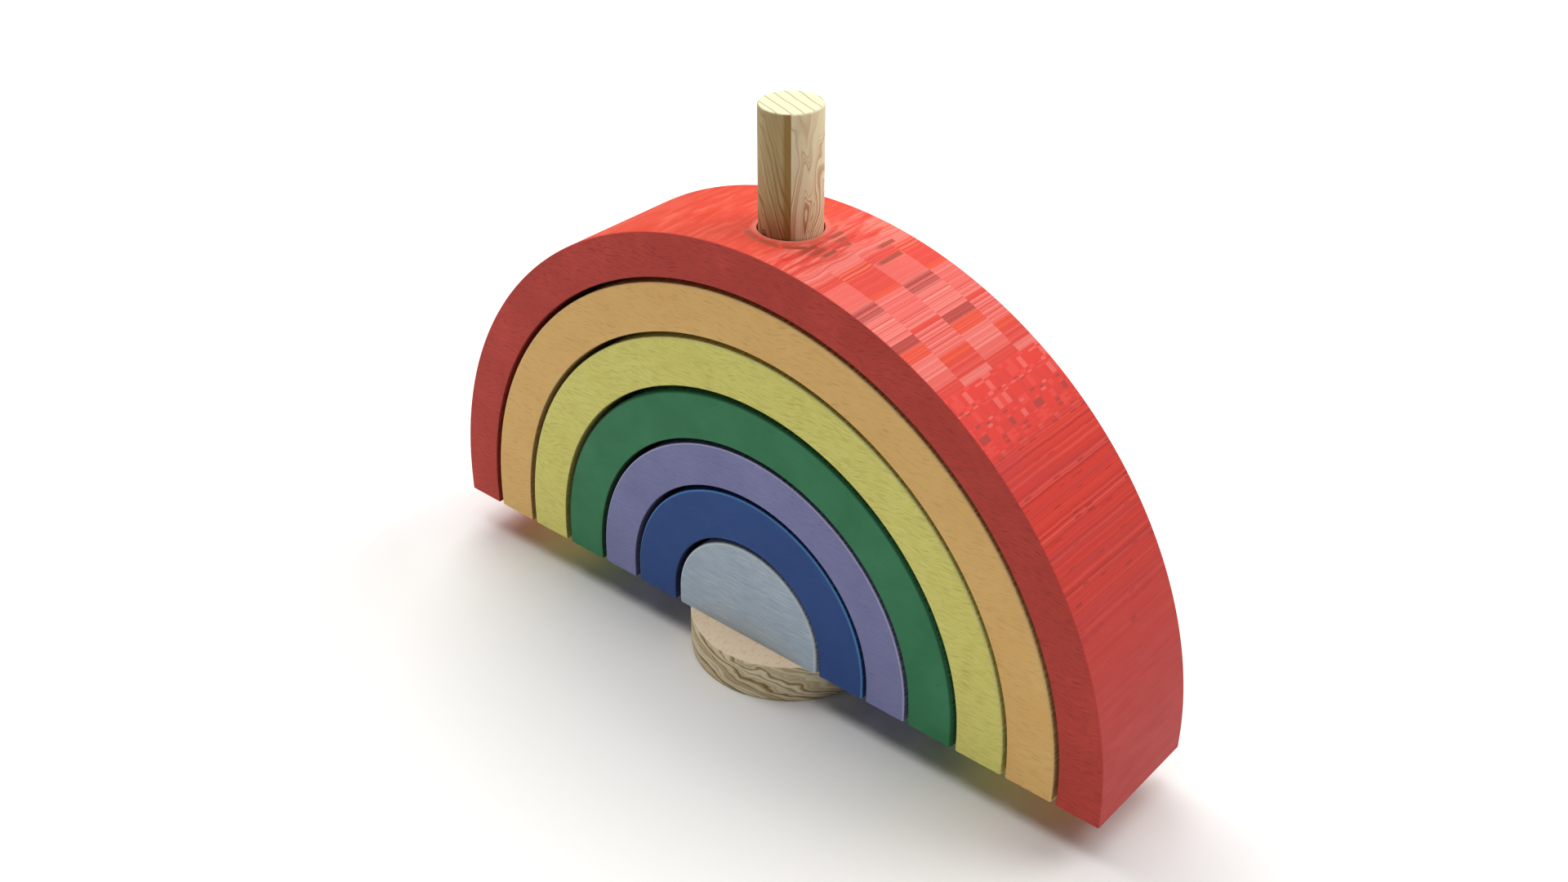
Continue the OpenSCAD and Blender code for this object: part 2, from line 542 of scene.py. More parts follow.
    # fine lines down the leg over broader bands, with a few short dark ticks
    linePlace = addNode(
        tree, "ShaderNodeMath", {0: kind.outputs[0], 2: along}, {1: 0.1}, operation="MULTIPLY_ADD")
    lines = addNode(
        tree, "ShaderNodeTexNoise", {"W": linePlace.outputs[0]},
        {"Scale": 0.7, "Detail": 5.0, "Roughness": 0.8}, noise_dimensions="1D")
    lineColour = addNode(
        tree, "ShaderNodeValToRGB", {"Fac": lines.outputs["Fac"]},
        stops=redRays["lineTints"])
    tickScaled = addNode(
        tree, "ShaderNodeVectorMath", {0: fleckSpace.outputs[0]}, {1: redRays["tickGrid"]},
        operation="MULTIPLY")
    tickCell = addNode(tree, "ShaderNodeVectorMath", {0: tickScaled.outputs[0]}, operation="FLOOR")
    tickPick = addNode(
        tree, "ShaderNodeTexWhiteNoise", {"Vector": tickCell.outputs[0]}, noise_dimensions="2D")
    ticks = addNode(
        tree, "ShaderNodeMapRange", {0: tickPick.outputs["Value"]}, {1: 0.965, 2: 0.97, 3: 0.0, 4: 0.5})
    legLines = addNode(
        tree, "ShaderNodeMix", {0: ticks.outputs[0], 6: lineColour.outputs[0]},
        {7: toLinear(redRays["tick"])}, data_type="RGBA")

    # duller patches over the leg's lines
    patchSpace = addNode(tree, "ShaderNodeCombineXYZ", {"X": along, "Y": rowPlace.outputs[0]})
    patchNoise = addNode(
        tree, "ShaderNodeTexNoise", {"Vector": patchSpace.outputs[0]},
        {"Scale": 0.22, "Detail": 2.0, "Roughness": 0.7})
    patches = addNode(
        tree, "ShaderNodeMapRange", {0: patchNoise.outputs["Fac"]}, {1: 0.45, 2: 0.65, 3: 0.0, 4: 0.35})
    legWood = addNode(
        tree, "ShaderNodeMix", {0: patches.outputs[0], 6: legLines.outputs[2]},
        {7: toLinear(redRays["patch"])}, data_type="RGBA")

    # smooth wood on the left shoulder and at the foot
    surface = addNode(tree, "ShaderNodeCombineXYZ", {"X": along, "Y": depth})
    smoothSpace = addNode(
        tree, "ShaderNodeVectorMath", {0: surface.outputs[0]}, {1: (0.3, 0.07, 0.0)},
        operation="MULTIPLY")
    smoothNoise = addNode(
        tree, "ShaderNodeTexNoise", {"Vector": smoothSpace.outputs[0]},
        {"Scale": 1.0, "Detail": 5.0, "Roughness": 0.65, "Distortion": 0.3})
    shoulder = addNode(
        tree, "ShaderNodeValToRGB", {"Fac": smoothNoise.outputs["Fac"]},
        stops=redRays["shoulderTints"])
    foot = addNode(
        tree, "ShaderNodeValToRGB", {"Fac": smoothNoise.outputs["Fac"]},
        stops=redRays["footTints"])

    # pale flames lick away from the hole before the first rays
    flameSpace = addNode(
        tree, "ShaderNodeVectorMath", {0: surface.outputs[0]}, {1: (0.62, 0.08, 0.0)},
        operation="MULTIPLY")
    flameNoise = addNode(
        tree, "ShaderNodeTexNoise", {"Vector": flameSpace.outputs[0]},
        {"Scale": 1.0, "Detail": 4.0, "Roughness": 0.6, "Distortion": 0.5})
    flames = addNode(
        tree, "ShaderNodeValToRGB", {"Fac": flameNoise.outputs["Fac"]},
        stops=redRays["flameTints"])

    # each pattern takes over from the last as the curve runs down to the right
    blend = shoulder.outputs[0]
    for source, (start, end) in (
            (flames.outputs[0], redZones["flames"]), (rays.outputs[2], redZones["rays"]),
            (flecks.outputs[0], redZones["flecks"]), (legWood.outputs[2], redZones["leg"]),
            (foot.outputs[0], redZones["foot"])):
        share = addNode(
            tree, "ShaderNodeMapRange", {0: bent.outputs[0]}, {1: start, 2: end, 3: 0.0, 4: 1.0})
        blend = addNode(
            tree, "ShaderNodeMix", {0: share.outputs[0], 6: blend, 7: source},
            data_type="RGBA").outputs[2]
    leftLeg = addNode(
        tree, "ShaderNodeMapRange", {0: along},
        {1: redZones["leftLeg"][0], 2: redZones["leftLeg"][1], 3: 0.0, 4: 1.0})
    blend = addNode(
        tree, "ShaderNodeMix", {0: leftLeg.outputs[0], 6: blend, 7: legWood.outputs[2]},
        data_type="RGBA").outputs[2]

    # painted highlight round the rim of the hole, on its eased lip
    paintedRimHighlight = addNode(
        tree, "ShaderNodeMapRange", {0: hole}, {1: 9.8, 2: 11.6, 3: 0.6, 4: 0.0},
        interpolation_type="SMOOTHSTEP")
    blend = addNode(
        tree, "ShaderNodeMix", {0: paintedRimHighlight.outputs[0], 6: blend}, {7: toLinear(redRays["paintedRimHighlight"])},
        data_type="RGBA").outputs[2]

    # dark ray ends: an arc of dashes round the front of the hole, then rows of strokes on its right
    angle = addNode(tree, "ShaderNodeMath", {0: depth, 1: along}, operation="ARCTAN2")
    angleSteps = addNode(
        tree, "ShaderNodeMath", {0: angle.outputs[0]},
        {1: redRays["dashesRound"] / (2 * math.pi), 2: redRays["dashShift"]}, operation="MULTIPLY_ADD")
    dashPart = addNode(tree, "ShaderNodeMath", {0: angleSteps.outputs[0]}, operation="FRACT").outputs[0]
    widening = addNode(
        tree, "ShaderNodeMapRange", {0: along}, {1: 2.0, 2: 11.0, 3: 0.0, 4: -1.4})
    uneven = addNode(
        tree, "ShaderNodeMath", {0: swayCentred.outputs[0], 2: widening.outputs[0]}, {1: 2.5},
        operation="MULTIPLY_ADD")
    dashRadius = addNode(
        tree, "ShaderNodeMath", {0: hole, 1: uneven.outputs[0]}, operation="ADD").outputs[0]
    soft = redRays["strokeSoftness"]
    groups = [(
        (dashRadius, 11.0, 11.4), (dashRadius, 13.1, 12.7),
        (dashPart, 0.03, 0.1), (dashPart, 0.97, 0.88),
        (depth, -4.0, -5.0), (along, -9.5, -7.5))]
    inner = redRays["strokeWidth"] / 2 - soft
    outer = redRays["strokeWidth"] / 2 + soft
    for strokes in strokeRows.values():
        for step in range(strokes["count"]):
            middle = strokes["first"] + step * strokes["apart"]
            front = strokes["front"] + step * strokes["frontStep"]
            back = strokes["back"] + step * strokes["backStep"]
            groups.append((
                (along, middle - outer, middle - inner), (along, middle + outer, middle + inner),
                (depth, front, front + redRays["strokeTaper"]),
                (depth, back + 2 * soft, back - 2 * soft)))
    for group in groups:
        dark = None
        for source, start, end in group:
            gate = addNode(
                tree, "ShaderNodeMapRange", {0: source}, {1: start, 2: end, 3: 0.0, 4: 1.0})
            if dark is None:
                dark = gate
            else:
                dark = addNode(
                    tree, "ShaderNodeMath", {0: dark.outputs[0], 1: gate.outputs[0]},
                    operation="MULTIPLY")
        blend = addNode(
            tree, "ShaderNodeMix", {0: dark.outputs[0], 6: blend}, {7: toLinear(redRays["rayEnd"])},
            data_type="RGBA").outputs[2]
    return blend


redRays = {
    "rowHeight": 12.1,
    "rowShift": -0.04,
    "rowJump": 43.0,
    "rayWidth": 4.3,
    "wander": 9.0,
    "tints": [
        (0.0, "#DC463A"), (0.28, "#E4645A"), (0.46, "#E24E34"), (0.58, "#E87268"), (0.97, "#B4463E")],
    "pale": "#F4948A",
    "deep": "#B43430",
    "fleckGrid": (0.85, 6.5, 0.0),
    "fleckTints": [
        (0.0, "#E4443A"), (0.42, "#E84E44"), (0.62, "#DC443C"), (0.82, "#EC665E"), (0.97, "#B84640")],
    "lineTints": [(0.28, "#A23430"), (0.42, "#D63C32"), (0.55, "#E04638"), (0.72, "#EA6052")],
    "tickGrid": (1.6, 4.6, 0.0),
    "tick": "#8E302C",
    "patch": "#BE4448",
    "shoulderTints": [(0.3, "#CA3820"), (0.5, "#D4452E"), (0.7, "#DE6048")],
    "flameTints": [(0.34, "#D23C30"), (0.48, "#DE4E40"), (0.66, "#EE8070")],
    # painted highlight round the rim of the hole
    "paintedRimHighlight": "#F08C78",
    "dashesRound": 10.6,
    "dashShift": 0.82,
    "strokeWidth": 1.5,
    "strokeSoftness": 0.15,
    "strokeTaper": 2.5,
    "footTints": [(0.3, "#BE4240"), (0.7, "#CA504C")],
    "rayEnd": "#AC4C3A",
}
# how far along the curve each pattern comes in, in millimetres to the right of the hole
redZones = {
    "leftLeg": (-60.0, -100.0),
    "flames": (2.0, 11.0),
    "rays": (19.0, 22.5),
    "flecks": (71.0, 72.0),
    "leg": (89.0, 92.0),
    "foot": (112.0, 180.0),
}
# rows of short dark strokes, in millimetres, each row changing evenly from stroke to stroke
strokeRows = {
    "front": {
        "count": 3, "first": 12.5, "apart": 2.5,
        "front": -12, "frontStep": 1.5, "back": -5, "backStep": 1.5},
    "rear": {
        "count": 3, "first": 12.5, "apart": 2.5,
        "front": 0.5, "frontStep": 0, "back": 7, "backStep": -1.5},
    "far": {
        "count": 2, "first": 24, "apart": 5,
        "front": 7, "frontStep": -6, "back": 15, "backStep": -3},
}


# the sanded finish, with the dark colour painted as shade on the arches' inside curves
sanded = {"roughness": 0.65, "specular": 0.2, "paintedGapShade": "#2A1C16"}
bareFinish = {"roughness": 0.6, "specular": 0.2}


# water-stained beech, sanded smooth and left without varnish: a matt face that shows its fibres
def stainedBeech(name, stain, radius, centre):
    material, tree, shader = startMaterial(name, sanded["roughness"], sanded["specular"])
    coords = addNode(tree, "ShaderNodeTexCoord")
    place = addNode(
        tree, "ShaderNodeVectorMath", {0: coords.outputs["Object"]},
        {1: (1000, 1000, 1000), 2: (0, 0, -centre / mm)}, operation="MULTIPLY_ADD")
    split = addNode(tree, "ShaderNodeSeparateXYZ", {0: place.outputs[0]})
    turn = addNode(
        tree, "ShaderNodeMath", {0: split.outputs["X"], 1: split.outputs["Z"]}, operation="ARCTAN2")
    along = addNode(
        tree, "ShaderNodeMath", {0: turn.outputs[0]}, {1: radius / mm}, operation="MULTIPLY")
    shifted = addNode(
        tree, "ShaderNodeVectorMath", {0: place.outputs[0]}, {1: (stain["seed"], 0, stain["seed"])},
        operation="ADD")
    face, height = boardGrain(tree, shifted.outputs[0], stain)
    if stain.get("figured"):
        flat = addNode(
            tree, "ShaderNodeVectorMath", {0: place.outputs[0]}, {1: (1, 1, 0)}, operation="MULTIPLY")
        hole = addNode(tree, "ShaderNodeVectorMath", {0: flat.outputs[0]}, operation="LENGTH")
        curve = redCurve(
            tree, place.outputs[0], along.outputs[0], split.outputs["Y"], hole.outputs["Value"])
    else:
        curve = sawnCurve(tree, along.outputs[0], stain)
    normal = addNode(tree, "ShaderNodeSeparateXYZ", {0: coords.outputs["Normal"]})
    facing = addNode(tree, "ShaderNodeMath", {0: normal.outputs["Y"]}, operation="ABSOLUTE")
    share = addNode(
        tree, "ShaderNodeMapRange", {0: facing.outputs[0]}, {1: 0.35, 2: 0.75, 3: 0.0, 4: 1.0})
    colour = addNode(
        tree, "ShaderNodeMix", {0: share.outputs[0], 6: curve, 7: face}, data_type="RGBA")
    # painted highlight on the eased outer edges (painted shade on green's), and painted shade darkening
    # the inside curve, where the gaps between the arches are dark
    radial = addNode(
        tree, "ShaderNodeVectorMath", {0: place.outputs[0]}, {1: (1, 0, 1)}, operation="MULTIPLY")
    outward = addNode(tree, "ShaderNodeVectorMath", {0: radial.outputs[0]}, operation="NORMALIZE")
    leaning = addNode(
        tree, "ShaderNodeVectorMath", {0: outward.outputs[0], 1: coords.outputs["Normal"]},
        operation="DOT_PRODUCT")
    onEdge = addNode(
        tree, "ShaderNodeMapRange", {0: leaning.outputs["Value"]}, {1: 0.2, 2: 0.6, 3: 0.0, 4: 1.0})
    offCurve = addNode(
        tree, "ShaderNodeMapRange", {0: leaning.outputs["Value"]}, {1: 0.8, 2: 0.97, 3: 1.0, 4: 0.0})
    edge = addNode(
        tree, "ShaderNodeMath", {0: onEdge.outputs[0], 1: offCurve.outputs[0]}, operation="MULTIPLY")
    edgeShare = addNode(
        tree, "ShaderNodeMath", {0: edge.outputs[0]}, {1: stain["paintedEdgeStrength"]}, operation="MULTIPLY")
    paintedEdgeShading = addNode(
        tree, "ShaderNodeMix", {0: edgeShare.outputs[0], 6: colour.outputs[2]},
        {7: toLinear(stain["paintedEdgeShading"])}, data_type="RGBA")
    # painted shade: the inside curve is darkened where it faces into the dark gaps between the arches
    inside = addNode(
        tree, "ShaderNodeMapRange", {0: leaning.outputs["Value"]}, {1: -0.1, 2: -0.6, 3: 0.0, 4: 0.6})
    stainWithPaintedShade = addNode(
        tree, "ShaderNodeMix", {0: inside.outputs[0], 6: paintedEdgeShading.outputs[2]},
        {7: toLinear(sanded["paintedGapShade"])},
        data_type="RGBA")
    tree.links.new(stainWithPaintedShade.outputs[2], shader.inputs["Base Color"])
    bump = addNode(
        tree, "ShaderNodeBump", {"Height": height},
        {"Strength": stain["relief"], "Distance": 0.05 * mm},
        invert=True)
    tree.links.new(bump.outputs[0], shader.inputs["Normal"])
    return material


# each stain's edge colour, mixed in by its share, is a painted highlight on the eased outer edges
stains = {
    "core": {
        "light": "#DCEAF6", "dark": "#B6C8DA", "pore": "#9CAEC2",
        "pores": 0.45, "poreFrom": 0.55, "poreLength": 5.0, "fine": 4.0,
        "fibres": 0.4, "threads": 0.9, "clouds": 0.3, "sway": 4.0,
        "seed": 3.0, "paintedEdgeShading": "#F0FAFF", "paintedEdgeStrength": 0.9, "relief": 0.6},
    "blue": {
        "light": "#3E60A4", "dark": "#325292", "pore": "#1E3466",
        "pores": 0.4, "poreFrom": 0.68, "poreLength": 3.0, "fine": 4.0,
        "fibres": 0.4, "threads": 0.2, "clouds": 0.5, "sway": 6.0,
        "seed": 41.0, "paintedEdgeShading": "#6AAAE6", "paintedEdgeStrength": 0.85, "relief": 0.3},
    "purple": {
        "light": "#9A9CCE", "dark": "#8688B8", "pore": "#68648F",
        "pores": 0.5, "poreFrom": 0.62, "poreLength": 3.0, "fine": 4.0,
        "fibres": 0.4, "threads": 0.35, "clouds": 0.5, "sway": 8.0,
        "seed": 83.0, "paintedEdgeShading": "#E0DCFF", "paintedEdgeStrength": 0.75, "relief": 0.5},
    # green's edge colour is dark: painted shade along its eased outer edge
    "green": {
        "light": "#49966B", "dark": "#3D865A", "pore": "#246442",
        "pores": 0.5, "poreFrom": 0.68, "poreLength": 3.0, "fine": 4.0,
        "fibres": 0.4, "threads": 0.15, "clouds": 0.8, "sway": 6.0,
        "seed": 127.0, "paintedEdgeShading": "#1C4832", "paintedEdgeStrength": 0.7, "relief": 0.3},
    "yellow": {
        "light": "#FFFA96", "dark": "#F2EA80", "pore": "#D2CA66",
        "pores": 0.65, "poreFrom": 0.54, "poreLength": 3.8, "fine": 4.5,
        "fibres": 0.6, "threads": 0.6, "clouds": 0.4, "sway": 9.0,
        "seed": 171.0, "paintedEdgeShading": "#FFFEB8", "paintedEdgeStrength": 0.5, "relief": 0.8},
    "orange": {
        "light": "#FFD68A", "dark": "#FAC678", "pore": "#CC985C",
        "pores": 0.45, "poreFrom": 0.58, "poreLength": 4.0, "fine": 4.5,
        "fibres": 0.5, "threads": 0.3, "clouds": 0.5, "sway": 8.0,
        "seed": 223.0, "paintedEdgeShading": "#FFE4AC", "paintedEdgeStrength": 0.5, "relief": 0.5},
    "red": {
        "light": "#E6574A", "dark": "#CE4A40", "pore": "#983034",
        "pores": 0.5, "poreFrom": 0.56, "poreLength": 3.2, "fine": 4.0,
        "fibres": 0.7, "threads": 0.3, "clouds": 0.9, "sway": 8.0,
        "seed": 269.0, "paintedEdgeShading": "#D8564C", "paintedEdgeStrength": 0.3, "relief": 0.5, "figured": True},
}


# bare beech rod: two tones of board meet in a seam, with growth rings fanning up the side
def bareRod(rod):
    material, tree, shader = startMaterial(
        "bareBeechRod", bareFinish["roughness"], bareFinish["specular"])
    coords = addNode(tree, "ShaderNodeTexCoord")
    place = addNode(
        tree, "ShaderNodeVectorMath", {0: coords.outputs["Object"]}, {1: (1000, 1000, 1000)},
        operation="MULTIPLY")
    split = addNode(tree, "ShaderNodeSeparateXYZ", {0: place.outputs[0]})
    seam = math.radians(rod["seamAngle"])
    across = addNode(
        tree, "ShaderNodeVectorMath", {0: place.outputs[0]}, {1: (-math.sin(seam), math.cos(seam), 0)},
        operation="DOT_PRODUCT")
    grainSpace = addNode(
        tree, "ShaderNodeVectorMath", {0: place.outputs[0]}, {1: (0.3, 0.3, 0.045)},
        operation="MULTIPLY")
    grain = addNode(
        tree, "ShaderNodeTexNoise", {"Vector": grainSpace.outputs[0]},
        {"Scale": 1.0, "Detail": 4.0, "Roughness": 0.6, "Distortion": 0.8})
    bendSpace = addNode(
        tree, "ShaderNodeVectorMath", {0: place.outputs[0]}, {1: (0.16, 0.16, 0.05)},
        operation="MULTIPLY")
    bend = addNode(
        tree, "ShaderNodeTexNoise", {"Vector": bendSpace.outputs[0]},
        {"Scale": 1.0, "Detail": 1.0, "Roughness": 0.4, "Distortion": 0.4})
    # growth lines fan out upwards on the right board and lean across the left one
    fanSpread = addNode(
        tree, "ShaderNodeMath", {0: split.outputs["Z"]},
        {1: rod["fanRise"], 2: rod["fanStart"]}, operation="MULTIPLY_ADD")
    fanWidth = addNode(
        tree, "ShaderNodeMath", {0: fanSpread.outputs[0]}, {1: rod["fanLeast"]},
        operation="MAXIMUM")
    fan = addNode(
        tree, "ShaderNodeMath", {0: across.outputs["Value"], 1: fanWidth.outputs[0]},
        operation="DIVIDE")
    lean = addNode(
        tree, "ShaderNodeMath", {0: split.outputs["Z"], 2: across.outputs["Value"]}, {1: 0.3},
        operation="MULTIPLY_ADD")
    offCrown = addNode(
        tree, "ShaderNodeMath", {0: split.outputs["Z"]}, {1: rod["crown"]}, operation="SUBTRACT")
    apart = addNode(tree, "ShaderNodeMath", {0: offCrown.outputs[0]}, operation="ABSOLUTE")
    clearness = addNode(
        tree, "ShaderNodeMapRange", {0: apart.outputs[0]}, {1: 0.0, 2: 36.0, 3: 1.0, 4: 0.3})
    ringShares = []
    for flow in (lean, fan):
        bent = addNode(
            tree, "ShaderNodeMath", {0: bend.outputs["Fac"], 2: flow.outputs[0]}, {1: 6.0},
            operation="MULTIPLY_ADD")
        ripple = addNode(
            tree, "ShaderNodeTexNoise", {"W": bent.outputs[0]},
            {"Scale": 1.1, "Detail": 3.0, "Roughness": 0.75}, noise_dimensions="1D")
        ringShares.append(addNode(
            tree, "ShaderNodeMapRange", {0: ripple.outputs["Fac"], 4: clearness.outputs[0]},
            {1: 0.48, 2: 0.62, 3: 0.0}, interpolation_type="SMOOTHSTEP"))
    sides = []
    for board, rings in ((rod["left"], ringShares[0]), (rod["right"], ringShares[1])):
        tone = addNode(
            tree, "ShaderNodeMix", {0: grain.outputs["Fac"]},
            {6: toLinear(board["light"]), 7: toLinear(board["dark"])}, data_type="RGBA")
        sides.append(addNode(
            tree, "ShaderNodeMix", {0: rings.outputs[0], 6: tone.outputs[2]},
            {7: toLinear(board["ring"])}, data_type="RGBA"))
    band = addNode(
        tree, "ShaderNodeMapRange", {0: across.outputs["Value"]}, {1: -2.4, 2: -1.6, 3: 0.0, 4: 0.75})
    banded = addNode(
        tree, "ShaderNodeMix", {0: band.outputs[0], 6: sides[0].outputs[2]},
        {7: toLinear(rod["seamBand"])}, data_type="RGBA")
    rightSide = addNode(
        tree, "ShaderNodeMath", {0: across.outputs["Value"]}, {1: 0.0}, operation="GREATER_THAN")
    side = addNode(
        tree, "ShaderNodeMix", {0: rightSide.outputs[0], 6: banded.outputs[2], 7: sides[1].outputs[2]},
        data_type="RGBA")
    # year rings across the sawn end
    tilt = math.radians(rod["endTilt"])
    endAcross = addNode(
        tree, "ShaderNodeVectorMath", {0: place.outputs[0]},
        {1: (-math.sin(tilt) / rod["ringGap"], math.cos(tilt) / rod["ringGap"], 0)},
        operation="DOT_PRODUCT")
    endWobble = addNode(
        tree, "ShaderNodeTexNoise", {"Vector": place.outputs[0]}, {"Scale": 0.12, "Detail": 1.0})
    endRipple = addNode(
        tree, "ShaderNodeMath", {0: endWobble.outputs["Fac"], 2: endAcross.outputs["Value"]}, {1: 0.4},
        operation="MULTIPLY_ADD")
    endStep = addNode(tree, "ShaderNodeMath", {0: endRipple.outputs[0]}, operation="FRACT")
    endLines = addNode(
        tree, "ShaderNodeMapRange", {0: endStep.outputs[0]}, {1: 0.84, 2: 0.97, 3: 0.0, 4: 0.85},
        interpolation_type="SMOOTHSTEP")
    end = addNode(
        tree, "ShaderNodeMix", {0: endLines.outputs[0]},
        {6: toLinear(rod["end"]), 7: toLinear(rod["endRing"])}, data_type="RGBA")
    normal = addNode(tree, "ShaderNodeSeparateXYZ", {0: coords.outputs["Normal"]})
    isEnd = addNode(
        tree, "ShaderNodeMapRange", {0: normal.outputs["Z"]}, {1: 0.7, 2: 0.9, 3: 0.0, 4: 1.0})
    colour = addNode(
        tree, "ShaderNodeMix", {0: isEnd.outputs[0], 6: side.outputs[2], 7: end.outputs[2]},
        data_type="RGBA")
    tree.links.new(colour.outputs[2], shader.inputs["Base Color"])
    return material


rodWood = {
    "crown": 140.0,
    "fanRise": 0.055,
    "fanStart": -6.7,
    "fanLeast": 0.9,
    "seamAngle": -49.7,
    "left": {"light": "#DEC896", "dark": "#AE9A60", "ring": "#A0643E"},
    "right": {"light": "#FFF8D4", "dark": "#EEE0AE", "ring": "#BE8454"},
    "seamBand": "#A07C36",
    "end": "#DCDAB8",
    "endRing": "#8A8244",
    "endTilt": -21.1,
    "ringGap": 3.15,
}


# bare beech disc: pale flecked top, and a turned side with dark slanting growth lines
def bareDisc(disc):
    material, tree, shader = startMaterial(
        "bareBeechDisc", bareFinish["roughness"], bareFinish["specular"])
    coords = addNode(tree, "ShaderNodeTexCoord")
    place = addNode(
        tree, "ShaderNodeVectorMath", {0: coords.outputs["Object"]}, {1: (1000, 1000, 1000)},
        operation="MULTIPLY")
    fleckSpace = addNode(
        tree, "ShaderNodeVectorMath", {0: place.outputs[0]}, {1: (1.7, 0.35, 1.0)},
        operation="MULTIPLY")
    fleckNoise = addNode(
        tree, "ShaderNodeTexNoise", {"Vector": fleckSpace.outputs[0]},
        {"Scale": 1.0, "Detail": 2.0, "Roughness": 0.6})
    flecks = addNode(
        tree, "ShaderNodeMapRange", {0: fleckNoise.outputs["Fac"]}, {1: 0.5, 2: 0.72, 3: 0.0, 4: 0.9})
    top = addNode(
        tree, "ShaderNodeMix", {0: flecks.outputs[0]},
        {6: toLinear(disc["top"]), 7: toLinear(disc["topFleck"])}, data_type="RGBA")
    sideSpace = addNode(
        tree, "ShaderNodeVectorMath", {0: place.outputs[0]}, {1: (0.05, 0.05, 0.14)},
        operation="MULTIPLY")
    sideNoise = addNode(
        tree, "ShaderNodeTexNoise", {"Vector": sideSpace.outputs[0]},
        {"Scale": 1.0, "Detail": 2.6, "Roughness": 0.5, "Distortion": 0.4})
    slant = addNode(
        tree, "ShaderNodeVectorMath", {0: place.outputs[0]}, {1: disc["slant"]},
        operation="DOT_PRODUCT")
    strata = addNode(
        tree, "ShaderNodeMath", {0: sideNoise.outputs["Fac"], 2: slant.outputs["Value"]}, {1: 5.0},
        operation="MULTIPLY_ADD")
    ripple = addNode(
        tree, "ShaderNodeTexNoise", {"W": strata.outputs[0]},
        {"Scale": 1.5, "Detail": 1.6, "Roughness": 0.55},
        noise_dimensions="1D")
    side = addNode(
        tree, "ShaderNodeValToRGB", {"Fac": ripple.outputs["Fac"]},
        stops=disc["sideTints"])
    normal = addNode(tree, "ShaderNodeSeparateXYZ", {0: coords.outputs["Normal"]})
    isTop = addNode(
        tree, "ShaderNodeMapRange", {0: normal.outputs["Z"]}, {1: 0.6, 2: 0.8, 3: 0.0, 4: 1.0})
    colour = addNode(
        tree, "ShaderNodeMix", {0: isTop.outputs[0], 6: side.outputs[0], 7: top.outputs[2]},
        data_type="RGBA")
    tree.links.new(colour.outputs[2], shader.inputs["Base Color"])
    return material


discWood = {
    "top": "#FFE8C8",
    "topFleck": "#F8C898",
    "slant": (0.11, 0.1, 0.42),
    "sideTints": [
        (0.33, "#94764E"), (0.43, "#CAB286"), (0.55, "#F2E2BC"), (0.72, "#FCF0D2")],
}


# pressed wool felt: dull and soft, its matted fibres drawn coarser than they are so that they show
def pressedFelt():
    material, tree, shader = startMaterial(
        "pressedWoolFelt", feltRing["roughness"], feltRing["specular"])
    shader.inputs["Sheen Weight"].default_value = feltRing["sheen"]
    coords = addNode(tree, "ShaderNodeTexCoord")
    place = addNode(
        tree, "ShaderNodeVectorMath", {0: coords.outputs["Object"]}, {1: (1000, 1000, 1000)},
        operation="MULTIPLY")
    mat = addNode(
        tree, "ShaderNodeTexNoise", {"Vector": place.outputs[0]},
        {"Scale": 1.6, "Detail": 5.0, "Roughness": 0.75, "Distortion": 1.5})
    tone = addNode(
        tree, "ShaderNodeMapRange", {0: mat.outputs["Fac"]}, {1: 0.35, 2: 0.65, 3: 0.0, 4: 1.0})
    colour = addNode(
        tree, "ShaderNodeMix", {0: tone.outputs[0]},
        {6: toLinear(feltRing["shadow"]), 7: toLinear(feltRing["wool"])}, data_type="RGBA")
    tree.links.new(colour.outputs[2], shader.inputs["Base Color"])
    bump = addNode(
        tree, "ShaderNodeBump", {"Height": mat.outputs["Fac"]},
        {"Strength": 0.7, "Distance": 0.15 * mm})
    tree.links.new(bump.outputs[0], shader.inputs["Normal"])
    return material


def dress(piece, material, node, body):
    piece.data.materials.clear()
    piece.data.materials.append(material)
    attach(piece, body)
    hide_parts(node)


dress(modelDowel(), bareRod(rodWood), "dowel", "base")
dress(modelBase(), bareDisc(discWood), "base_disc", "base")
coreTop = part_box("core")[1]
coreWood = stainedBeech("paleBlueStainedBeech", stains["core"], coreTop.x, coreTop.z - coreTop.x)
dress(modelCore(), coreWood, "core", "core")
felt = pressedFelt()
for colour in ("blue", "purple", "green", "yellow", "orange", "red"):
    size = archSize(colour)
    archWood = stainedBeech(colour + "StainedBeech", stains[colour], size["outer"], size["centre"])
    dress(modelArch(colour), archWood, colour + "_arch", colour)
    dress(modelFelt(colour), felt, colour + "_felt", colour)
    print("arch ready:", colour)


studio = {
    "aimAt": Vector((0, -2.9 * mm, 74.6 * mm)),
    "distance": 505 * mm,
    "azimuth": 40.52,
    "elevation": 32.28,
    "lens": 39.68,
    "floorSize": 8.0,
    "floorColour": "#F4F3F1",
    "fadeFrom": 0.7,
    "fadeTo": 1.5,
    "skyForLight": 0.085,
}
softboxes = {
    "overhead": {"place": Vector((0, 0, 2.0)), "size": 1.3, "power": 17.4},
    "backLeft": {"place": Vector((-0.91, 0.91, 1.53)), "size": 1.2, "power": 15.4},
    "left": {"place": Vector((-1.29, 0, 1.53)), "size": 1.2, "power": 14.2},
    "backRight": {"place": Vector((0.91, 0.91, 1.53)), "size": 1.2, "power": 17.0},
}


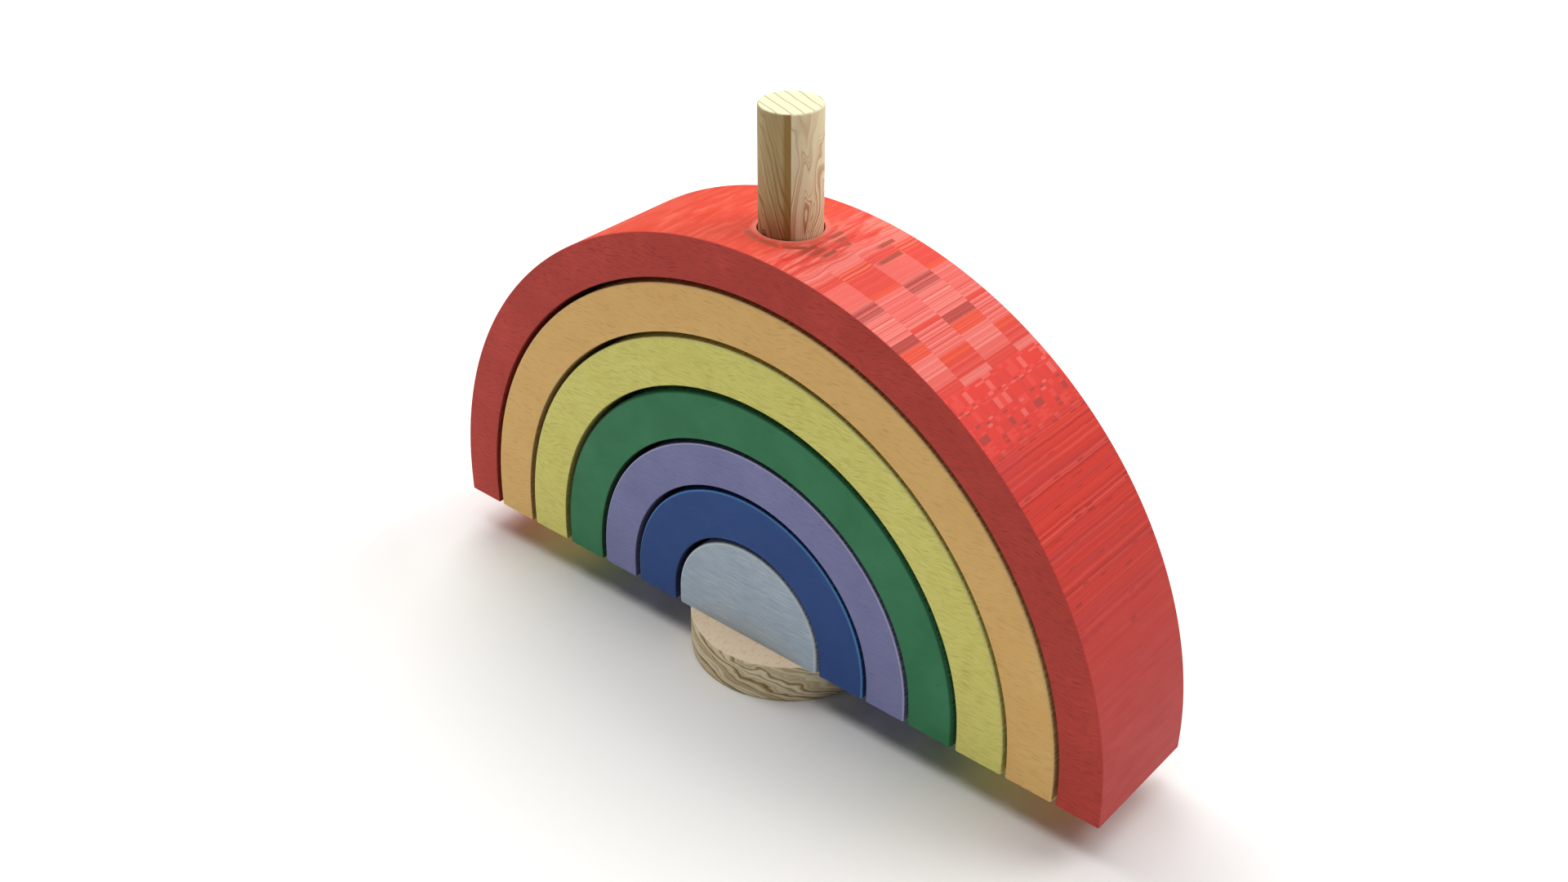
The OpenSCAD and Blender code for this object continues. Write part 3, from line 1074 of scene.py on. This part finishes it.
def buildStudio():
    selectNothing()
    bpy.ops.mesh.primitive_plane_add(size=studio["floorSize"], location=(0, 0, 0))
    floor = bpy.context.object
    floor.name = "paleFloor"
    paper = bpy.data.materials.new("matteWhitePaper")
    paper.use_nodes = True
    paperShader = paper.node_tree.nodes["Principled BSDF"]
    paperShader.inputs["Base Color"].default_value = toLinear(studio["floorColour"])
    paperShader.inputs["Roughness"].default_value = 0.9
    # the paper thins out into the white room, well beyond the tower
    paperTree = paper.node_tree
    paperCoords = addNode(paperTree, "ShaderNodeTexCoord")
    away = addNode(
        paperTree, "ShaderNodeVectorMath", {0: paperCoords.outputs["Object"]}, operation="LENGTH")
    fade = addNode(
        paperTree, "ShaderNodeMapRange", {0: away.outputs["Value"]},
        {1: studio["fadeFrom"], 2: studio["fadeTo"], 3: 0.0, 4: 1.0})
    clear = addNode(paperTree, "ShaderNodeBsdfTransparent")
    faded = addNode(
        paperTree, "ShaderNodeMixShader",
        {0: fade.outputs[0], 1: paperShader.outputs[0], 2: clear.outputs[0]})
    paperTree.links.new(faded.outputs[0], paperTree.nodes["Material Output"].inputs["Surface"])
    floor.data.materials.append(paper)

    world = bpy.data.worlds.new("paleRoom")
    bpy.context.scene.world = world
    world.use_nodes = True
    tree = world.node_tree
    tree.nodes.clear()
    path = addNode(tree, "ShaderNodeLightPath")
    soft = addNode(tree, "ShaderNodeBackground", values={"Strength": studio["skyForLight"]})
    soft.inputs["Color"].default_value = (1, 1, 1, 1)
    seen = addNode(tree, "ShaderNodeBackground", values={"Strength": 1.0})
    seen.inputs["Color"].default_value = (1, 1, 1, 1)
    either = addNode(
        tree, "ShaderNodeMixShader",
        {0: path.outputs["Is Camera Ray"], 1: soft.outputs[0], 2: seen.outputs[0]})
    addNode(tree, "ShaderNodeOutputWorld", {"Surface": either.outputs[0]})

    for name, lamp in softboxes.items():
        light = bpy.data.lights.new(name, "AREA")
        light.shape = "DISK"
        light.size = lamp["size"]
        light.energy = lamp["power"]
        softbox = bpy.data.objects.new(name, light)
        bpy.context.collection.objects.link(softbox)
        softbox.location = lamp["place"]
        softbox.rotation_euler = (-lamp["place"]).to_track_quat("-Z", "Y").to_euler()

    around = math.radians(studio["azimuth"])
    up = math.radians(studio["elevation"])
    outward = Vector((
        math.sin(around) * math.cos(up), -math.cos(around) * math.cos(up), math.sin(up)))
    view = bpy.data.cameras.new("studioCamera")
    view.lens = studio["lens"]
    view.sensor_width = 36
    view.clip_start = 0.01
    camera = bpy.data.objects.new("studioCamera", view)
    bpy.context.collection.objects.link(camera)
    camera.location = studio["aimAt"] + studio["distance"] * outward
    camera.rotation_euler = (-outward).to_track_quat("-Z", "Y").to_euler()
    bpy.context.scene.camera = camera
    bpy.context.scene.view_settings.view_transform = "Standard"
    bpy.context.scene.view_settings.look = "None"


buildStudio()
print("studio ready")
